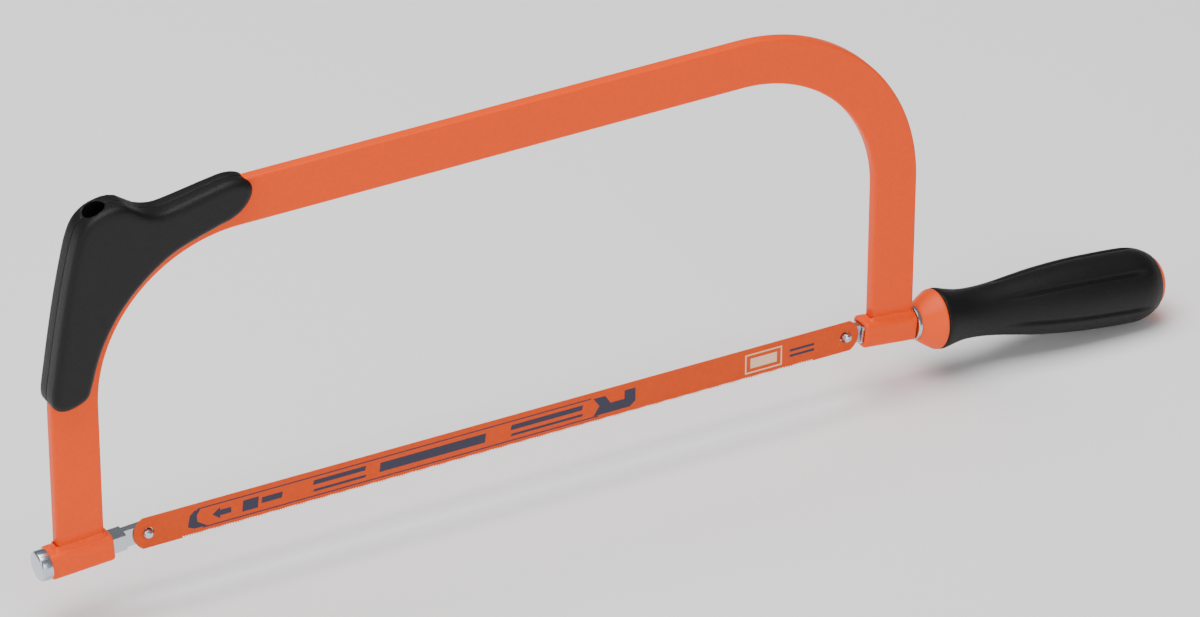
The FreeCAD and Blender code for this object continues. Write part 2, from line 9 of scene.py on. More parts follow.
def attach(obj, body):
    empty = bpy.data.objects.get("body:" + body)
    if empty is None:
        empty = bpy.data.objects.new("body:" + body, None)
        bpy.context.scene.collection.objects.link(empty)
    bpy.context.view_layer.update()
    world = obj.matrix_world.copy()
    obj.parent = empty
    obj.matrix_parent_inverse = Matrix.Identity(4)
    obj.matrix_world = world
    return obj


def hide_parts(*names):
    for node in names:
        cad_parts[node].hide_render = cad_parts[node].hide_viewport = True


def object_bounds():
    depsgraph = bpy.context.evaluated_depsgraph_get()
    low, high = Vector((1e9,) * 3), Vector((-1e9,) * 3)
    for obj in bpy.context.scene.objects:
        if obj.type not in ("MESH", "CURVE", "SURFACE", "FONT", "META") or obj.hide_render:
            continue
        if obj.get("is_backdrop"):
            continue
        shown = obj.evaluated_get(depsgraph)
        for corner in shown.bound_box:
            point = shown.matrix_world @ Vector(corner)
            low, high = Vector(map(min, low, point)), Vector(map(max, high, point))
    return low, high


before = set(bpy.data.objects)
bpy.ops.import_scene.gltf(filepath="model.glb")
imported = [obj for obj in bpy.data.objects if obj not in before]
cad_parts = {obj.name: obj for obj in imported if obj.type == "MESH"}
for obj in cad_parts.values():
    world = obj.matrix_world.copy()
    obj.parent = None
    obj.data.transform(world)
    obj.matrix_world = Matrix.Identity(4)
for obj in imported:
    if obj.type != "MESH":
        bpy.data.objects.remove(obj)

bl_info = {
    "name": "Hacksaw with screw-drawn handle",
    "version": (1, 0, 0),
    "blender": (4, 5, 0),
    "location": "3D Viewport > Sidebar > Hacksaw",
    "description": "Builds the looks of a hacksaw over its CAD frame, piece by piece",
    "category": "Add Mesh",
}

MM = 0.001
# Lengths are millimetres until MM makes them metres. x runs along the blade to the handle, and z is up.
HALF_SPAN = 150.0
# How far each socket's outer end hangs below the line of the blade.
FRONT_DROOP = 3.6
REAR_DROOP = 6.0
# The two bends of the bow: centre along and above the blade, and outer radius.
FRONT_BEND = (-108.4, 60.0)
REAR_BEND = (102.7, 63.006)
FRONT_RADIUS = 78.5
REAR_RADIUS = 78.0
RAIL_TILT = 0.68
random.seed(7)


# ---------------------------------------------------------------- colour and nodes
def linear(code):
    """An sRGB hex colour as linear RGBA."""
    parts = [int(code[i:i + 2], 16) / 255.0 for i in (1, 3, 5)]
    light = [p / 12.92 if p <= 0.04045 else ((p + 0.055) / 1.055) ** 2.4 for p in parts]
    return (*light, 1.0)


def add_node(tree, kind, settings=None, links=None):
    """One shader node. settings are its properties or input values, links its inputs' sources."""
    node = tree.nodes.new(kind)
    for key, value in (settings or {}).items():
        if key in node.inputs:
            node.inputs[key].default_value = value
        else:
            setattr(node, key, value)
    for key, source in (links or {}).items():
        tree.links.new(source, node.inputs[key])
    return node


def new_material(name, surface):
    """An empty material with one Principled shader carrying these values."""
    material = bpy.data.materials.new(name)
    material.use_nodes = True
    tree = material.node_tree
    tree.nodes.clear()
    shader = add_node(tree, "ShaderNodeBsdfPrincipled", surface)
    add_node(tree, "ShaderNodeOutputMaterial", None, {"Surface": shader.outputs["BSDF"]})
    place = add_node(tree, "ShaderNodeTexCoord").outputs["Object"]
    return material, tree, shader, place


def grain(tree, shader, place, size_mm, height_mm, strength, detail=3.0, stretch=None):
    """A fine bump with grains of this size. stretch draws the grain out along an axis."""
    if stretch:
        place = add_node(tree, "ShaderNodeMapping", {"Scale": stretch}, {"Vector": place}).outputs["Vector"]
    noise = add_node(
        tree, "ShaderNodeTexNoise",
        {"Scale": 1.0 / (size_mm * MM), "Detail": detail, "Roughness": 0.55}, {"Vector": place},
    )
    bump = add_node(
        tree, "ShaderNodeBump",
        {"Strength": strength, "Distance": height_mm * MM}, {"Height": noise.outputs["Fac"]},
    )
    tree.links.new(bump.outputs["Normal"], shader.inputs["Normal"])
    return noise


def painted_steel(name, colour, rough):
    """Powder-coated steel: a saturated, slightly waxy colour with a soft broad highlight."""
    material, tree, shader, place = new_material(name, {"Roughness": rough, "Specular IOR Level": 0.2})
    noise = grain(tree, shader, place, size_mm=1.4, height_mm=0.02, strength=0.22)
    # The coat's thickness varies, so its colour drifts by this share to either side.
    drift = 0.07
    ramp = add_node(tree, "ShaderNodeValToRGB", None, {"Fac": noise.outputs["Fac"]})
    for tone, at, factor in zip(ramp.color_ramp.elements, (0.2, 0.8), (1.0 - drift, 1.0 + drift)):
        tone.position = at
        tone.color = [min(value * factor, 1.0) for value in colour]
    tree.links.new(ramp.outputs["Color"], shader.inputs["Base Color"])
    return material


def zinc_steel(name, colour):
    """Zinc-plated steel: bright and bluish, with faint drawn lines and a patchy shine."""
    material, tree, shader, place = new_material(name, {"Metallic": 1.0, "Base Color": colour})
    noise = grain(
        tree, shader, place, size_mm=0.5, height_mm=0.01, strength=0.25, detail=4.0,
        stretch=(0.12, 1.0, 1.0),
    )
    shine = add_node(
        tree, "ShaderNodeMapRange", {"To Min": 0.16, "To Max": 0.34}, {"Value": noise.outputs["Fac"]},
    )
    tree.links.new(shine.outputs["Result"], shader.inputs["Roughness"])
    return material


def moulded_plastic(name, colour, rough, size_mm, height_mm, strength):
    """Moulded polymer: an even body colour, with a spark-eroded grain that breaks up and greys the
    highlight. Such a grain is about 0.2 mm, and the black parts' is drawn coarser so that it shows."""
    material, tree, shader, place = new_material(
        name, {"Base Color": colour, "Roughness": rough, "Specular IOR Level": 0.3},
    )
    grain(tree, shader, place, size_mm, height_mm, strength, detail=2.0)
    return material


def printing_ink(name, colour):
    """Screen-printed ink: flat, thin and a little duller than the paint under it."""
    material, tree, shader, place = new_material(name, {"Base Color": colour, "Roughness": 0.45})
    grain(tree, shader, place, size_mm=0.5, height_mm=0.004, strength=0.2)
    return material


def backdrop_paper(name, colour):
    """Uncoated backdrop paper: fully matt, so that it takes soft shadows and no reflections."""
    return new_material(name, {"Base Color": colour, "Roughness": 0.85})[0]


# Surfaces of the moulded parts: rough to hold, and a fine satin.
GRIPPY = {"rough": 0.5, "size_mm": 0.6, "height_mm": 0.22, "strength": 1.0}
SATIN = {"rough": 0.45, "size_mm": 0.8, "height_mm": 0.02, "strength": 0.3}
MATERIALS = {}


def material(name):
    """The shared materials, made when first asked for."""
    colours = bpy.context.scene.hacksaw_finish
    makers = {
        "powder-coated steel": lambda: painted_steel(name, colours.bow_paint, 0.42),
        "painted blade steel": lambda: painted_steel(name, colours.blade_paint, 0.4),
        "zinc-plated steel": lambda: zinc_steel(name, colours.plating),
        "moulded nylon": lambda: moulded_plastic(name, colours.grip_nylon, **GRIPPY),
        "moulded elastomer": lambda: moulded_plastic(name, colours.handle_rubber, **GRIPPY),
        "orange polypropylene": lambda: moulded_plastic(name, colours.handle_core, **SATIN),
        "dark screen ink": lambda: printing_ink(name, colours.dark_ink),
        "pale screen ink": lambda: printing_ink(name, colours.pale_ink),
    }
    if name not in MATERIALS:
        MATERIALS[name] = makers[name]()
    return MATERIALS[name]


# ---------------------------------------------------------------- mesh tools
def socket_frame(droop, front):
    """From a socket's own axes (x outwards from the pin) in millimetres to the row frame in metres."""
    turn = math.radians(180.0 - droop if front else droop)
    at = Matrix.Translation((-HALF_SPAN * MM if front else HALF_SPAN * MM, 0.0, 0.0))
    return at @ Matrix.Rotation(turn, 4, "Y") @ Matrix.Diagonal((MM, MM, MM, 1.0))


FRONT_AXIS = socket_frame(FRONT_DROOP, True)
REAR_AXIS = socket_frame(REAR_DROOP, False)
ROW = Matrix.Diagonal((MM, MM, MM, 1.0))


def mesh_object(name, points, faces, place, smooth):
    """An object with this mesh. The points are millimetres in the axes that place maps."""
    mesh = bpy.data.meshes.new(name)
    mesh.from_pydata([place @ Vector(p) for p in points], [], faces)
    build = bmesh.new()
    build.from_mesh(mesh)
    bmesh.ops.remove_doubles(build, verts=build.verts, dist=1e-7)
    bmesh.ops.recalc_face_normals(build, faces=build.faces)
    for face in build.faces:
        face.smooth = smooth
    build.to_mesh(mesh)
    build.free()
    made = bpy.data.objects.new(name, mesh)
    bpy.context.scene.collection.objects.link(made)
    return made


def mesh_piece(name, points, faces, finish, body, replaces=(), place=ROW, smooth=True):
    """A mesh piece with its material, that rides on a body and stands in for CAD nodes."""
    piece = mesh_object(name, points, faces, place, smooth)
    piece.data.materials.append(material(finish))
    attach(piece, body)
    if replaces:
        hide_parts(*replaces)
    return piece


def weighted(piece):
    """Keeps broad faces flat under smooth shading."""
    piece.modifiers.new("Flat faces", "WEIGHTED_NORMAL").keep_sharp = True


def ring_faces(rings, count, closed_rings=False):
    """Quads between successive rings of count points. closed_rings joins the last ring to the first."""
    faces = []
    last = rings if closed_rings else rings - 1
    for i in range(last):
        for j in range(count):
            a, b = i * count + j, i * count + (j + 1) % count
            up = ((i + 1) % rings) * count
            faces.append((a, b, up + (j + 1) % count, up + j))
    return faces


def curve_point(corners, t):
    """The point at share t between the middle two of four points, on a curve through both."""
    return tuple(
        0.5 * (2 * b + (c - a) * t + (2 * a - 5 * b + 4 * c - d) * t * t + (3 * b - a - 3 * c + d) * t ** 3)
        for a, b, c, d in zip(*corners)
    )


def smooth_path(points, steps):
    """A curve through open points (any number of values each), with the given steps per span."""
    result = []
    last = len(points) - 1
    for i in range(last):
        corners = (points[max(i - 1, 0)], points[i], points[i + 1], points[min(i + 2, last)])
        result += [curve_point(corners, k / steps) for k in range(steps)]
    result.append(tuple(points[-1]))
    return result


def closed_curve(points, steps):
    """A smooth closed curve through points, with the given steps per span."""
    result = []
    for i in range(len(points)):
        corners = [points[(i + k) % len(points)] for k in (-1, 0, 1, 2)]
        result += [curve_point(corners, k / steps) for k in range(steps)]
    return result


def lathe(profile, count, radius=None):
    """Points and faces of a closed profile of (along, radius) turned about the x axis."""
    points = []
    for along, reach in profile:
        for j in range(count):
            turn = 2 * math.pi * j / count
            r = radius(along, reach, turn) if radius else reach
            points.append((along, r * math.cos(turn), r * math.sin(turn)))
    return points, ring_faces(len(profile), count, True)


def rounded_loop(half_x, half_y, corner, steps):
    """A closed loop of a rectangle with rounded corners, anticlockwise."""
    loop = []
    for i, (sx, sy) in enumerate(((1, 1), (-1, 1), (-1, -1), (1, -1))):
        for k in range(steps + 1):
            turn = math.radians(90 * i + 90 * k / steps)
            loop.append((
                sx * (half_x - corner) + corner * math.cos(turn),
                sy * (half_y - corner) + corner * math.sin(turn),
            ))
    return loop


def smoothstep(low, high, value):
    """Rises smoothly from 0 at low to 1 at high."""
    t = min(max((value - low) / (high - low), 0.0), 1.0)
    return t * t * (3 - 2 * t)


def dress(node, finish, bevel_mm=0.0):
    """Gives a CAD node its material, and softens its sharp edges."""
    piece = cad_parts[node]
    piece.data.materials.clear()
    piece.data.materials.append(material(finish))
    if bevel_mm:
        piece.modifiers.new("Join", "WELD").merge_threshold = 1e-6
        bevel = piece.modifiers.new("Broken edges", "BEVEL")
        bevel.width = bevel_mm * MM
        bevel.segments = 2
        bevel.angle_limit = math.radians(40)


# ---------------------------------------------------------------- settings
class BowSettings(bpy.types.PropertyGroup):
    width: bpy.props.FloatProperty(
        name="Bar width", description="Width of the flat bar in the plane of the bow", default=19.0 * MM,
        unit="LENGTH")
    thickness: bpy.props.FloatProperty(
        name="Bar thickness", description="Thickness of the flat bar across the bow", default=5.0 * MM,
        unit="LENGTH")
    corner: bpy.props.FloatProperty(
        name="Corner radius", description="Rounding along the bar's long edges", default=1.1 * MM,
        unit="LENGTH")
    socket: bpy.props.FloatProperty(
        name="Socket size", description="Outside of the square sockets", default=10.8 * MM, unit="LENGTH")


class GripSettings(bpy.types.PropertyGroup):
    thickness: bpy.props.FloatProperty(
        name="Grip thickness", description="Thickness at the horn", default=14.6 * MM, unit="LENGTH")
    tip_thickness: bpy.props.FloatProperty(
        name="Tip thickness", description="Thickness where the grip ends on the rail", default=11.8 * MM,
        unit="LENGTH")
    rounding: bpy.props.FloatProperty(
        name="Rounding", description="Edge rounding of the moulding", default=3.0 * MM, unit="LENGTH")
    parting: bpy.props.FloatProperty(
        name="Parting groove", description="Depth of the line between the two halves", default=0.25 * MM,
        unit="LENGTH")


class HandleSettings(bpy.types.PropertyGroup):
    grooves: bpy.props.IntProperty(
        name="Grooves", description="Number of finger grooves round the handle", default=6, min=3)
    groove_depth: bpy.props.FloatProperty(
        name="Groove depth", description="Depth of each groove at its middle", default=1.25 * MM,
        unit="LENGTH")
    thread_pitch: bpy.props.FloatProperty(
        name="Thread pitch", description="Travel of the stud for one turn", default=1.0 * MM,
        unit="LENGTH")


class BladeSettings(bpy.types.PropertyGroup):
    width: bpy.props.FloatProperty(
        name="Blade width", description="From the back edge to the tooth tips", default=13.0 * MM,
        unit="LENGTH")
    thickness: bpy.props.FloatProperty(
        name="Blade thickness", description="Thickness of the strip", default=0.65 * MM, unit="LENGTH")
    pitch: bpy.props.FloatProperty(
        name="Tooth pitch", description="Distance between tooth tips", default=1.058 * MM, unit="LENGTH")
    set_reach: bpy.props.FloatProperty(
        name="Wavy set", description="How far the wave pushes the tips sideways", default=0.26 * MM,
        unit="LENGTH")
    wave: bpy.props.FloatProperty(
        name="Wave length", description="Length of one wave of the set", default=8.5 * MM, unit="LENGTH")


def colour_setting(name, description, code):
    """A colour that a user can change, from its sRGB hex value."""
    return bpy.props.FloatVectorProperty(
        name=name, description=description, subtype="COLOR", size=4, min=0.0, max=1.0, default=linear(code))


class FinishSettings(bpy.types.PropertyGroup):
    bow_paint: colour_setting("Bow paint", "Powder coat of the bow and its sockets", "#FF4E00")
    blade_paint: colour_setting("Blade paint", "Paint of the blade", "#DD4900")
    plating: colour_setting("Plating", "Zinc plating of the holders, pins and washer", "#C3CBD6")
    grip_nylon: colour_setting("Front grip", "Moulded plastic of the front grip", "#080606")
    handle_rubber: colour_setting("Handle rubber", "Rubber over the handle", "#080606")
    handle_core: colour_setting("Handle core", "Plastic of the handle's core and its plug", "#FC5200")
    dark_ink: colour_setting("Dark ink", "Dark marks on the blade", "#1B1B38")
    pale_ink: colour_setting("Pale ink", "Pale label on the blade", "#F3C9A6")
    backdrop: colour_setting("Backdrop", "Paper under the saw and light around it", "#FFFFFF")


class StageSettings(bpy.types.PropertyGroup):
    key: bpy.props.FloatProperty(
        name="Key light", description="Power of the large soft light", default=95.0, unit="POWER")
    fill: bpy.props.FloatProperty(
        name="Fill light", description="Power of the second light", default=25.0, unit="POWER")
    surround: bpy.props.FloatProperty(
        name="Surround", description="Strength of the even studio surround", default=0.22)


# ---------------------------------------------------------------- bow
def polar(centre, radius, degrees):
    """The plane point at this radius and angle from centre."""
    turn = math.radians(degrees)
    return centre[0] + radius * math.cos(turn), centre[1] + radius * math.sin(turn)


def foot_on_socket(x, size, front):
    """Height of a socket's top face at x."""
    droop = math.radians(FRONT_DROOP if front else REAR_DROOP)
    along = x + HALF_SPAN if front else HALF_SPAN - x
    return size / 2 / math.cos(droop) + along * math.tan(droop)


LEG_STEPS = 9
BEND_STEPS = 48
RAIL_STEPS = 24
# The legs' ends stand this far inside the sockets' top faces, under the welds.
LEG_SINK = 0.2


def between(start, end, share):
    """The point at this share of the way from start to end."""
    return tuple(a + (b - a) * share for a, b in zip(start, end))


def leg_stations(inner_x, outer_x, top, socket, front):
    """Pairs of (inner, outer) edge points up a leg, from its socket to just below its bend."""
    feet = [(x, foot_on_socket(x, socket, front) - LEG_SINK) for x in (inner_x, outer_x)]
    tops = [(inner_x, top), (outer_x, top)]
    return [
        tuple(between(foot, end, i / LEG_STEPS) for foot, end in zip(feet, tops))
        for i in range(LEG_STEPS)
    ]


def bend_stations(centre, inner, outer, start, end):
    """Pairs of (inner, outer) edge points round a bend, between two angles."""
    angles = [start + (end - start) * i / BEND_STEPS for i in range(BEND_STEPS + 1)]
    return [(polar(centre, inner, angle), polar(centre, outer, angle)) for angle in angles]


def bow_stations(width, socket):
    """Pairs of (inner, outer) edge points of the bar from the front foot to the rear foot."""
    front_inner, rear_inner = FRONT_RADIUS - width, REAR_RADIUS - width
    (front_x, front_top), (rear_x, rear_top) = FRONT_BEND, REAR_BEND
    front_leg = leg_stations(front_x - front_inner, front_x - FRONT_RADIUS, front_top, socket, True)
    rear_leg = leg_stations(rear_x + rear_inner, rear_x + REAR_RADIUS, rear_top, socket, False)
    rail = 90.0 + RAIL_TILT
    front_bend = bend_stations(FRONT_BEND, front_inner, FRONT_RADIUS, 180.0, rail)
    rear_bend = bend_stations(REAR_BEND, rear_inner, REAR_RADIUS, rail, 0.0)
    rail_stations = [
        tuple(between(a, b, i / RAIL_STEPS) for a, b in zip(front_bend[-1], rear_bend[0]))
        for i in range(1, RAIL_STEPS)
    ]
    return front_leg + front_bend + rail_stations + rear_bend + rear_leg[::-1]


class HACKSAW_OT_bow(bpy.types.Operator):
    """Sweeps the flat bar round its two bends"""
    bl_idname = "hacksaw.bow"
    bl_label = "Bow"

    def execute(self, context):
        s = context.scene.hacksaw_bow
        width, thick, corner = s.width / MM, s.thickness / MM, s.corner / MM
        stations = bow_stations(width, s.socket / MM)
        section = rounded_loop(width / 2, thick / 2, corner, 5)
        points = []
        for inner, outer in stations:
            for u, v in section:
                x, z = between(inner, outer, u / width + 0.5)
                points.append((x, v, z))
        faces = ring_faces(len(stations), len(section))
        faces.append(tuple(range(len(section))))
        faces.append(tuple(range(len(points) - len(section), len(points))))
        weighted(mesh_piece(
            "frame_bar_finished", points, faces, "powder-coated steel", "bow", ["frame_bar"],
        ))
        return {"FINISHED"}


# Steps round each corner of a socket.
MOUTH_STEPS = 6


def socket_points(near, far, outside, bore):
    """A square tube with softened mouths, as rings from the inside round to the inside again."""
    half, hole = outside / 2, bore / 2
    rings = (
        (near + 0.5, hole, 0.9), (near + 0.12, hole + 0.05, 0.95), (near, hole + 0.25, 1.1),
        (near, half - 0.85, 1.7), (near + 0.12, half - 0.42, 2.0), (near + 0.42, half - 0.12, 2.2),
        (near + 0.9, half, 2.3), (far - 0.7, half, 2.3), (far - 0.32, half - 0.1, 2.2),
        (far - 0.1, half - 0.34, 2.0), (far, half - 0.7, 1.7), (far, hole + 0.25, 1.1),
        (far - 0.12, hole + 0.05, 0.95), (far - 0.5, hole, 0.9),
    )
    points = []
    for along, reach, corner in rings:
        points += [(along, y, z) for y, z in rounded_loop(reach, reach, corner, MOUTH_STEPS)]
    return points, ring_faces(len(rings), 4 * (MOUTH_STEPS + 1), True)


SOCKET_BORE = 7.44
# Where each socket starts and ends along its own axis, outwards from its blade pin.
SOCKETS = (
    ("front_socket", 15.2, 40.4, FRONT_AXIS),
    ("rear_socket", 7.8, 31.2, REAR_AXIS),
)
# The same for each leg's foot, and the side of the axis it stands on: the front axes point z downwards.
WELDS = (
    ("front_weld", 17.7, 37.1, -1, FRONT_AXIS),
    ("rear_weld", 11.5, 30.4, 1, REAR_AXIS),
)
# Section of a weld's fillet: reach out from the leg and height over the socket.
WELD_SECTION = (
    (-0.4, 1.75), (0.04, 1.85), (0.16, 1.25), (0.38, 0.75), (0.7, 0.38), (1.1, 0.12), (1.3, -0.1),
    (1.0, -0.5), (-0.4, -0.5),
)
WELD_HALF_WIDTH = 2.45
WELD_CORNER = 0.8
WELD_STEP = 0.5


class HACKSAW_OT_sockets(bpy.types.Operator):
    """Makes the two square sockets and the weld beads that join them to the legs"""
    bl_idname = "hacksaw.sockets"
    bl_label = "Sockets and welds"

    def execute(self, context):
        outside = context.scene.hacksaw_bow.socket / MM
        for name, near, far, place in SOCKETS:
            points, faces = socket_points(near, far, outside, SOCKET_BORE)
            weighted(mesh_piece(
                f"{name}_finished", points, faces, "powder-coated steel", "bow",
                [name], place,
            ))
        for name, start, end, side, place in WELDS:
            points, faces = self.bead(start, end, side * outside / 2, side)
            mesh_piece(
                f"{name}_finished", points, faces, "powder-coated steel", "bow",
                [name], place,
            )
        return {"FINISHED"}

    def bead(self, start, end, level, side):
        """A wavering bead of weld that runs round the foot of the leg."""
        middle = (start + end) / 2
        path = rounded_loop((end - start) / 2, WELD_HALF_WIDTH, WELD_CORNER, 4)
        dense = []
        for here, there in zip(path, path[1:] + path[:1]):
            steps = max(1, round(math.dist(here, there) / WELD_STEP))
            dense += [between(here, there, k / steps) for k in range(steps)]
        points = []
        for i, (x, y) in enumerate(dense):
            swell = 0.94 + 0.05 * math.sin(i * 0.9) + random.uniform(-0.03, 0.03)
            before, after = dense[i - 1], dense[(i + 1) % len(dense)]
            way = Vector((after[0] - before[0], after[1] - before[1], 0)).normalized()
            out = Vector((way.y, -way.x, 0))
            for over, lift in WELD_SECTION:
                reach = out * (over * swell)
                points.append((middle + x + reach.x, y + reach.y, level + side * lift * swell))
        return points, ring_faces(len(dense), len(WELD_SECTION), True)


# ---------------------------------------------------------------- front grip
# Up the leg's outer side, over the horn and along the saddle, then back inside the bend.
GRIP_OUTLINE = (
    (-187.6, 68.5), (-185.9, 79.9), (-183.7, 92.8), (-181.0, 107.0), (-178.2, 119.6), (-175.6, 129.6),
    (-172.6, 136.0), (-167.5, 140.2), (-160.5, 142.0), (-155.2, 141.2), (-151.4, 138.6), (-147.4, 136.2),
    (-141.4, 134.9), (-135.0, 135.7), (-128.0, 137.1), (-120.0, 138.7), (-112.5, 139.8), (-107.0, 138.7),
    (-104.4, 135.6), (-105.2, 131.2), (-108.4, 127.0), (-113.4, 124.1), (-119.4, 122.5), (-135.2, 117.6),
    (-144.8, 112.1), (-153.3, 104.9), (-160.5, 96.4), (-166.0, 86.8), (-169.2, 78.5), (-171.2, 71.6),
    (-173.2, 66.6), (-177.6, 64.1), (-182.4, 63.2), (-186.2, 64.6),
)


def ray_span(outline, centre, degrees):
    """Nearest and farthest crossing of a ray from centre with a closed outline, or None."""
    turn = math.radians(degrees)
    dx, dz = math.cos(turn), math.sin(turn)
    hits = []
    for (ax, az), (bx, bz) in zip(outline, outline[1:] + outline[:1]):
        ex, ez = bx - ax, bz - az
        det = dx * -ez + ex * dz
        if abs(det) < 1e-12:
            continue
        rx, rz = ax - centre[0], az - centre[1]
        reach = (rx * -ez + ex * rz) / det
        along = (dx * rz - dz * rx) / det
        if 0.0 <= along < 1.0 and reach > 0:
            hits.append(reach)
    return (min(hits), max(hits)) if len(hits) > 1 else None


def edge_distance(point, outline):
    """Distance from a plane point to a closed outline."""
    px, pz = point
    best = math.inf
    for (ax, az), (bx, bz) in zip(outline, outline[1:] + outline[:1]):
        ex, ez = bx - ax, bz - az
        t = ((px - ax) * ex + (pz - az) * ez) / (ex * ex + ez * ez)
        t = min(max(t, 0.0), 1.0)
        best = min(best, (ax + ex * t - px) ** 2 + (az + ez * t - pz) ** 2)
    return math.sqrt(best)


# Each half is a sheet of rows round the front bend. Across it, points crowd into the rounded edges.
GRIP_ROWS = 110
EDGE_STEPS = (0.0, 0.12, 0.35, 0.7, 1.15, 1.7, 2.3, 2.9)
MIDDLE_STEPS = 10
GRIP_COLUMNS = 2 * len(EDGE_STEPS) + MIDDLE_STEPS - 1
# Where a row is narrower than this, its edge steps shrink with it.
FULL_ROW = 7.5
# The cheeks thin out between these two places along the rail.
TAPER_START, TAPER_END = -158.0, -106.0
# The cheeks never come closer to the parting plane than this.
LEAST_HALF = 1.0
# Half the hairline gap between the two halves, and the height of the parting groove's bevel.
PARTING_GAP = 0.02
PARTING_BEVEL = 0.15
# The screw's well: where its axis meets the horn, its slant, and (along, radius) down to the screw.
WELL_MOUTH = (-166.5, 141.3)
WELL_TILT = 60.0
WELL_TOP, WELL_FLOOR = -9.0, 8.0
WELL_SIDE = ((WELL_TOP, 5.4), (-1.5, 4.6), (0.6, 4.35), (WELL_FLOOR, 4.3))


class HACKSAW_OT_front_grip(bpy.types.Operator):
    """Moulds the two halves of the front grip and sinks the screw into its horn"""
    bl_idname = "hacksaw.front_grip"
    bl_label = "Front grip"

    def execute(self, context):
        s = context.scene.hacksaw_grip
        sheet = self.sheet(closed_curve(GRIP_OUTLINE, 8), s)
        for side, name in ((-1, "front_grip_left"), (1, "front_grip_right")):
            self.sink_well(self.half(sheet, side, name, s.parting / MM))
        dress("grip_screw", "zinc-plated steel", 0.1)
        return {"FINISHED"}

    def sheet(self, outline, s):
        """The rounded cheek as rows of (x, height, z), from one end of the grip to the other."""
        turns = [
            math.degrees(math.atan2(z - FRONT_BEND[1], x - FRONT_BEND[0])) for x, z in outline
        ]
        low, high = min(turns), max(turns)
        rounding = s.rounding / MM
        grid = []
        for i in range(GRIP_ROWS):
            ease = 0.5 - 0.5 * math.cos(math.pi * (i + 0.5) / GRIP_ROWS)
            angle = low + (high - low) * ease
            span = ray_span(outline, FRONT_BEND, angle)
            if span is None:
                raise RuntimeError("the grip's outline has a gap")
            near, far = span
            fit = min(1.0, (far - near) / FULL_ROW)
            marks = [near + step * fit for step in EDGE_STEPS]
            first, last = marks[-1], far - EDGE_STEPS[-1] * fit
            marks += [first + (last - first) * k / MIDDLE_STEPS for k in range(1, MIDDLE_STEPS)]
            marks += [far - step * fit for step in reversed(EDGE_STEPS)]
            for k, reach in enumerate(marks):
                x, z = polar(FRONT_BEND, reach, angle)
                away = 0.0 if k in (0, GRIP_COLUMNS - 1) else edge_distance((x, z), outline)
                taper = smoothstep(TAPER_START, TAPER_END, x)
                half = (s.thickness + (s.tip_thickness - s.thickness) * taper) / MM / 2
                drop = rounding - math.sqrt(rounding ** 2 - max(rounding - away, 0.0) ** 2)
                grid.append((x, max(half - drop, LEAST_HALF), z))
        return grid

    def half(self, sheet, side, name, groove):
        """One closed half: rounded cheek, walls down to the parting line, and a flat inner face."""
        points = [(x, side * y, z) for x, y, z in sheet]
        faces = []
        for i in range(GRIP_ROWS - 1):
            for j in range(GRIP_COLUMNS - 1):
                a = i * GRIP_COLUMNS + j
                faces.append((a, a + 1, a + GRIP_COLUMNS + 1, a + GRIP_COLUMNS))
        last_row = (GRIP_ROWS - 1) * GRIP_COLUMNS
        rim = list(range(GRIP_COLUMNS))
        rim += range(2 * GRIP_COLUMNS - 1, last_row + GRIP_COLUMNS, GRIP_COLUMNS)
        rim += range(last_row + GRIP_COLUMNS - 2, last_row - 1, -1)
        rim += range(last_row - GRIP_COLUMNS, 0, -GRIP_COLUMNS)
        count = len(rim)
        left = self.turning(sheet, rim)
        loops = [rim]
        for level, inset in (
            (groove + PARTING_BEVEL, 0.0), (groove, 0.02), (PARTING_GAP, groove),
        ):
            loop = []
            for k, index in enumerate(rim):
                x, _, z = sheet[index]
                before, after = sheet[rim[k - 2]], sheet[rim[(k + 2) % count]]
                way = Vector((after[0] - before[0], after[2] - before[2])).normalized()
                inward = Vector((-way.y, way.x)) * left
                loop.append(len(points))
                points.append((x + inward.x * inset, side * level, z + inward.y * inset))
            loops.append(loop)
        for upper, lower in zip(loops, loops[1:]):
            for k in range(count):
                n = (k + 1) % count
                faces.append((upper[k], upper[n], lower[n], lower[k]))
        faces.append(tuple(loops[-1]))
        return mesh_piece(f"{name}_finished", points, faces, "moulded nylon", "bow", [name])

    def turning(self, sheet, rim):
        """1 if the rim runs anticlockwise in x and z, -1 if clockwise."""
        area = 0.0
        for a, b in zip(rim, rim[1:] + rim[:1]):
            area += sheet[a][0] * sheet[b][2] - sheet[b][0] * sheet[a][2]
        return 1.0 if area > 0 else -1.0

    def sink_well(self, piece):
        """Cuts the screw's round well, with a softened mouth, along the screw's own axis."""
        profile = [(WELL_TOP, 0.0)] + smooth_path(WELL_SIDE, 4) + [(WELL_FLOOR, 0.0)]
        points, faces = lathe(profile, 40)
        x, z = WELL_MOUTH
        axis = Matrix.Translation((x, 0.0, z)) @ Matrix.Rotation(math.radians(WELL_TILT), 4, "Y")
        cutter = mesh_object("well", points, faces, ROW @ axis, False)
        cut = piece.modifiers.new("Screw well", "BOOLEAN")
        cut.object = cutter
        cut.operation = "DIFFERENCE"
        cut.solver = "EXACT"
        bpy.context.view_layer.update()
        ready = piece.evaluated_get(bpy.context.evaluated_depsgraph_get())
        shaped = bpy.data.meshes.new_from_object(ready)
        piece.modifiers.clear()
        piece.data = shaped
        bpy.data.objects.remove(cutter)


# ---------------------------------------------------------------- holders and pins
# The stud along the rear socket's axis: a plain root inside the shank, then the thread, then a rounded tip.
STUD_START, THREAD_START, THREAD_END, STUD_END = 21.0, 29.0, 65.2, 66.0
ROOT_RADIUS = 2.95
CREST_RADIUS = 3.0
THREAD_DEPTH = 0.55
THREAD_STEPS = 12


